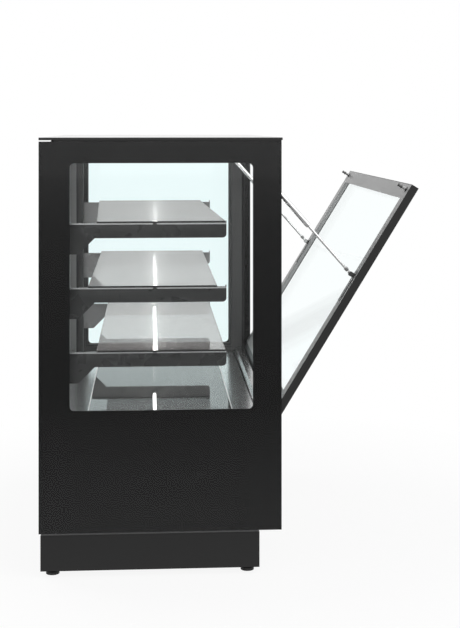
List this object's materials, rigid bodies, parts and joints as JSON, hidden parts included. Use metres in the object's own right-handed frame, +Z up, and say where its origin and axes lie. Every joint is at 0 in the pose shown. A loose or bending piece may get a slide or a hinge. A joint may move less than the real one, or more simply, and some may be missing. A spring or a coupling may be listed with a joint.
{
  "type": "refrigerated display counter",
  "caption": "Tall refrigerated display counter with glass sides, glass shelves, a tilting front glass door on gas struts and sliding rear doors.",
  "frame": {"origin": "on the floor, at the centre of the footprint that the counter takes with its front door open", "axes": "+X along the width, to the staff's left; +Y from the customers' side to the staff's side; +Z up"},
  "size_m": [1.2, 1.1346, 1.3],
  "materials": {
    "chassis_steel": "satin",
    "black_sheet": "satin black",
    "black_gloss": "gloss black",
    "foot_rubber": "matt",
    "zinc_sheet": "zinc plated",
    "tub_foam": "foamed tub",
    "deck_steel": "brushed stainless",
    "deck_glass": "grey printed, polished edges",
    "clear_glass": "clear",
    "shelf_glass": "polished edges",
    "black_print": "black enamel behind glass",
    "grey_print": "grey enamel",
    "spacer_bar": "dark anodised",
    "door_spacer_bar": "mill",
    "frame_grey": "satin grey coat",
    "rear_grey": "satin grey coat",
    "sill_steel": "brushed stainless",
    "canopy_panel": "foamed panel with a dark grey skin",
    "top_glass": "black printed",
    "seal_rubber": "matt",
    "upright_paint": "satin dark grey",
    "bracket_paint": "satin dark grey",
    "light_tube": "diffuser",
    "hinge_steel": "satin",
    "compressor_black": "semi gloss black",
    "coil_alu": "fins",
    "fan_plastic": "moulded",
    "copper": "copper pipe",
    "box_plastic": "moulded",
    "black_plastic": "moulded",
    "button_grey": "moulded",
    "slider_alu": "anodised, with clear glass",
    "strut_tube": "satin steel",
    "strut_rod": "polished",
    "edge_black": "black anodised"
  },
  "bodies": {
    "cabinet": {"chassis_frame": "chassis_steel", "plinth_skirt": "black_sheet", "rear_service_panel": "black_sheet", "lower_front_panel": "black_gloss", "front_header": "black_gloss", "levelling_feet": "foot_rubber", "base_pan": "zinc_sheet", "evaporation_pan": "zinc_sheet", "evaporator_fan_tray": "zinc_sheet", "insulated_tub": "tub_foam", "front_air_grille": "deck_steel", "rear_air_grille": "deck_steel", "deck_plate": "deck_glass", "left_side_glass": "clear_glass", "right_side_glass": "clear_glass", "side_inner_panes": "clear_glass", "upper_glass_shelf": "shelf_glass", "middle_glass_shelf": "shelf_glass", "lower_glass_shelf": "shelf_glass", "side_glass_prints": "black_print", "side_glass_spacers": "spacer_bar", "side_wall_frames": "frame_grey", "rear_frame": "rear_grey", "front_sill": "sill_steel", "canopy": "canopy_panel", "top_glass": "top_glass", "top_glass_tape": "seal_rubber", "door_gasket": "seal_rubber", "slotted_uprights": "upright_paint", "shelf_brackets": "bracket_paint", "light_tubes": "light_tube", "strut_top_mounts": "hinge_steel", "hinge_blocks": "hinge_steel", "compressor": "compressor_black", "condenser_coil": "coil_alu", "evaporator_coil": "coil_alu", "fan_shroud": "fan_plastic", "refrigerant_pipes": "copper", "electrical_box": "box_plastic", "power_inlet": "black_plastic", "controller": "black_plastic"},
    "front_door": {"door_outer_pane": "clear_glass", "door_inner_pane": "clear_glass", "door_glass_spacer": "door_spacer_bar", "door_border_print": "grey_print", "door_edge_profiles": "edge_black", "door_fittings": "hinge_steel"},
    "left_strut_tube": {"left_strut_tube": "strut_tube"},
    "left_strut_rod": {"left_strut_rod": "strut_rod"},
    "right_strut_tube": {"right_strut_tube": "strut_tube"},
    "right_strut_rod": {"right_strut_rod": "strut_rod"},
    "left_rear_door": {"left_rear_door": "slider_alu"},
    "right_rear_door": {"right_rear_door": "slider_alu"},
    "condenser_fan": {"condenser_fan": "fan_plastic"},
    "left_evaporator_fan": {"left_evaporator_fan": "fan_plastic"},
    "right_evaporator_fan": {"right_evaporator_fan": "fan_plastic"},
    "set_button": {"set_button": "button_grey"},
    "up_button": {"up_button": "button_grey"},
    "down_button": {"down_button": "button_grey"},
    "light_rocker": {"light_rocker": "black_plastic"}
  },
  "joints": [
    {"name": "front_door_hinge", "type": "hinge", "parent": "cabinet", "child": "front_door", "pos_m": [0, -0.14087, 0.476], "axis": [1, 0, 0], "range_deg": [-31.6, 0]},
    {"name": "left_strut_pivot", "type": "hinge", "parent": "cabinet", "child": "left_strut_tube", "pos_m": [-0.555, -0.05987, 1.236], "axis": [1, 0, 0], "range_deg": [-0.1, 30.28]},
    {"name": "left_strut_slide", "type": "slide", "parent": "left_strut_tube", "child": "left_strut_rod", "axis": [0, -0.6599, -0.7513], "range_m": [-0.16688, 0.0002]},
    {"name": "right_strut_pivot", "type": "hinge", "parent": "cabinet", "child": "right_strut_tube", "pos_m": [0.555, -0.05987, 1.236], "axis": [1, 0, 0], "range_deg": [-0.1, 30.28]},
    {"name": "right_strut_slide", "type": "slide", "parent": "right_strut_tube", "child": "right_strut_rod", "axis": [0, -0.6599, -0.7513], "range_m": [-0.16688, 0.0002]},
    {"name": "left_rear_door_slide", "type": "slide", "parent": "cabinet", "child": "left_rear_door", "axis": [1, 0, 0], "range_m": [0, 0.54]},
    {"name": "right_rear_door_slide", "type": "slide", "parent": "cabinet", "child": "right_rear_door", "axis": [-1, 0, 0], "range_m": [0, 0.54]},
    {"name": "condenser_fan_spin", "type": "hinge", "parent": "cabinet", "child": "condenser_fan", "pos_m": [-0.3, 0.46813, 0.2165], "axis": [0, 1, 0], "continuous": true},
    {"name": "left_evaporator_fan_spin", "type": "hinge", "parent": "cabinet", "child": "left_evaporator_fan", "pos_m": [-0.2, 0.08513, 0.416], "axis": [0, 1, 0], "continuous": true},
    {"name": "right_evaporator_fan_spin", "type": "hinge", "parent": "cabinet", "child": "right_evaporator_fan", "pos_m": [0.2, 0.08513, 0.416], "axis": [0, 1, 0], "continuous": true},
    {"name": "set_button_press", "type": "slide", "parent": "cabinet", "child": "set_button", "axis": [0, -1, 0], "range_m": [0, 0.001], "stiffness_N_per_m": 400, "springref_m": -0.0005},
    {"name": "up_button_press", "type": "slide", "parent": "cabinet", "child": "up_button", "axis": [0, -1, 0], "range_m": [0, 0.001], "stiffness_N_per_m": 400, "springref_m": -0.0005},
    {"name": "down_button_press", "type": "slide", "parent": "cabinet", "child": "down_button", "axis": [0, -1, 0], "range_m": [0, 0.001], "stiffness_N_per_m": 400, "springref_m": -0.0005},
    {"name": "light_rocker_tilt", "type": "hinge", "parent": "cabinet", "child": "light_rocker", "pos_m": [0.449, 0.54913, 0.1765], "axis": [1, 0, 0], "range_deg": [-16, 0]}
  ],
  "couplings": [
    {"joint": "left_strut_pivot", "follows": "front_door_hinge", "ratio": -0.95667},
    {"joint": "left_strut_slide", "follows": "front_door_hinge", "m_per_rad": 0.30221},
    {"joint": "right_strut_pivot", "follows": "front_door_hinge", "ratio": -0.95667},
    {"joint": "right_strut_slide", "follows": "front_door_hinge", "m_per_rad": 0.30221}
  ]
}
